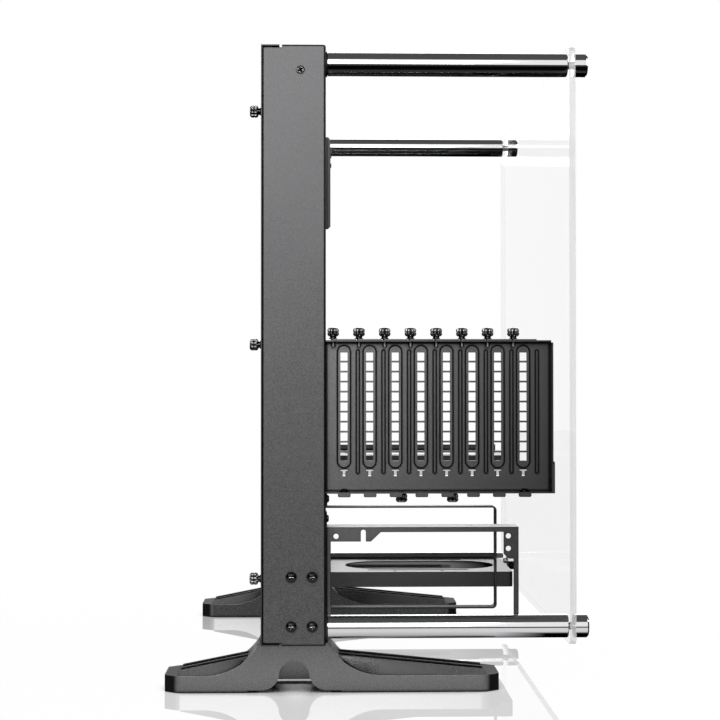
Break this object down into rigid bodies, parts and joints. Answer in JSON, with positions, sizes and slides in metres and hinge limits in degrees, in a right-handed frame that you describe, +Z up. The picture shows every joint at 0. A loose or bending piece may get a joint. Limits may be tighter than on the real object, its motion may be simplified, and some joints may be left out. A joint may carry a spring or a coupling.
{
  "type": "open air test bench",
  "caption": "Open-frame computer chassis: folded steel tray on moulded feet, clear window on chromed posts, slot bracket, power supply bracket and drive trays.",
  "frame": {"origin": "on the floor under the middle of the bounding box", "axes": "+X from the rear cover to the window, +Y along the chassis away from the slot bracket, +Z up"},
  "size_m": [0.336, 0.4744, 0.511],
  "materials": {
    "tray_steel": "satin black powder coat with a fine texture",
    "cover_steel": "satin black powder coat with a fine texture",
    "bracket_steel": "satin black powder coat",
    "slot_cover_steel": "satin black powder coat",
    "chrome_post": "polished chrome plating",
    "washer_nylon": "black nylon",
    "clear_acrylic": "clear polished acrylic",
    "foot_plastic": "matte black moulded plastic",
    "pad_rubber": "matte black rubber",
    "zinc_steel": "zinc plated steel",
    "black_screw": "black zinc plating, semi-gloss",
    "bezel_plastic": "black moulded plastic",
    "button_plastic": "black plastic, semi-gloss",
    "socket_steel": "bright tinned steel",
    "socket_plastic": "black plastic",
    "board_resin": "green solder mask"
  },
  "bodies": {
    "frame": {"audio_sockets": "socket_plastic", "bracket_screws": "black_screw", "bracket_thumbscrews": "black_screw", "corner_screws": "black_screw", "cover_thumbscrews": "black_screw", "foot_bottom_screws": "black_screw", "foot_pads": "pad_rubber", "foot_side_screws": "black_screw", "io_bezel": "bezel_plastic", "io_board": "board_resin", "left_foot": "foot_plastic", "left_foot_bracket": "zinc_steel", "left_lower_cap": "chrome_post", "left_lower_post": "chrome_post", "left_upper_cap": "chrome_post", "left_upper_post": "chrome_post", "lower_drive_tray": "bracket_steel", "main_panel": "tray_steel", "post_bolts": "black_screw", "post_washers": "washer_nylon", "psu_bracket": "bracket_steel", "psu_hoop": "bracket_steel", "psu_screws": "black_screw", "push_switches": "socket_plastic", "rear_cover": "cover_steel", "right_foot": "foot_plastic", "right_foot_bracket": "zinc_steel", "right_lower_cap": "chrome_post", "right_lower_post": "chrome_post", "right_upper_cap": "chrome_post", "right_upper_post": "chrome_post", "slot_bracket": "bracket_steel", "slot_cover_1": "slot_cover_steel", "slot_cover_2": "slot_cover_steel", "slot_cover_3": "slot_cover_steel", "slot_cover_4": "slot_cover_steel", "slot_cover_5": "slot_cover_steel", "slot_cover_6": "slot_cover_steel", "slot_cover_7": "slot_cover_steel", "slot_cover_8": "slot_cover_steel", "slot_thumbscrews": "black_screw", "tray_screws": "black_screw", "upper_drive_tray": "bracket_steel", "usb_sockets": "socket_steel", "window_panel": "clear_acrylic"},
    "power_button": {"power_button": "button_plastic"},
    "reset_button": {"reset_button": "button_plastic"}
  },
  "joints": [
    {"name": "power_press", "type": "slide", "parent": "frame", "child": "power_button", "axis": [-1, 0, 0], "range_m": [0, 0.0015], "stiffness_N_per_m": 300},
    {"name": "reset_press", "type": "slide", "parent": "frame", "child": "reset_button", "axis": [-1, 0, 0], "range_m": [0, 0.0015], "stiffness_N_per_m": 300}
  ]
}
